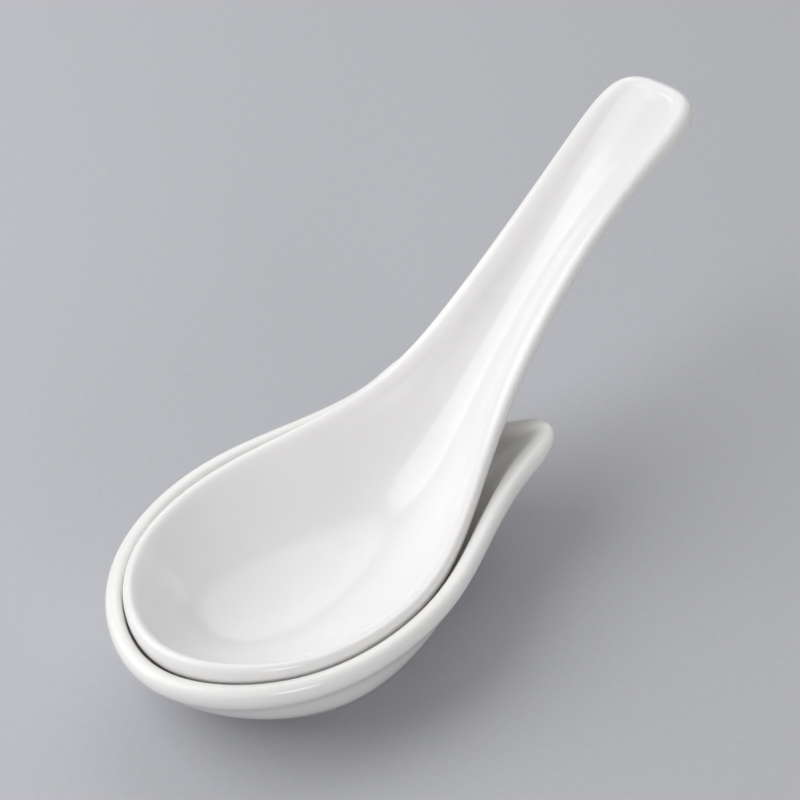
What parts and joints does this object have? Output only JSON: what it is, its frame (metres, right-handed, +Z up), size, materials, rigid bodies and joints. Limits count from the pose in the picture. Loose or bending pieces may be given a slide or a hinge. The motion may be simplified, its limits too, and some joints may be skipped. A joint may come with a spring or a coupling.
{
  "type": "chinese soup spoon with rest",
  "caption": "White glazed porcelain soup spoon with an egg-shaped bowl and a grooved rising handle, lying loose in a matching boat-shaped rest with an open lip.",
  "frame": {"origin": "centre of the rest's foot, on the surface it stands on", "axes": "+X from the bowl's tip towards the end of the handle, +Y across the spoon, +Z up"},
  "size_m": [0.1293, 0.0514, 0.0551],
  "materials": {
    "rest_porcelain": "clear gloss glaze over white porcelain, bare on the foot",
    "spoon_porcelain": "clear gloss glaze over white porcelain"
  },
  "bodies": {
    "rest": {"spoon_rest": "rest_porcelain"},
    "spoon": {"spoon": "spoon_porcelain"}
  },
  "joints": [
    {"name": "spoon_lift", "type": "slide", "parent": "rest", "child": "spoon", "axis": [0, 0, 1], "range_m": [0, 0.06]}
  ]
}
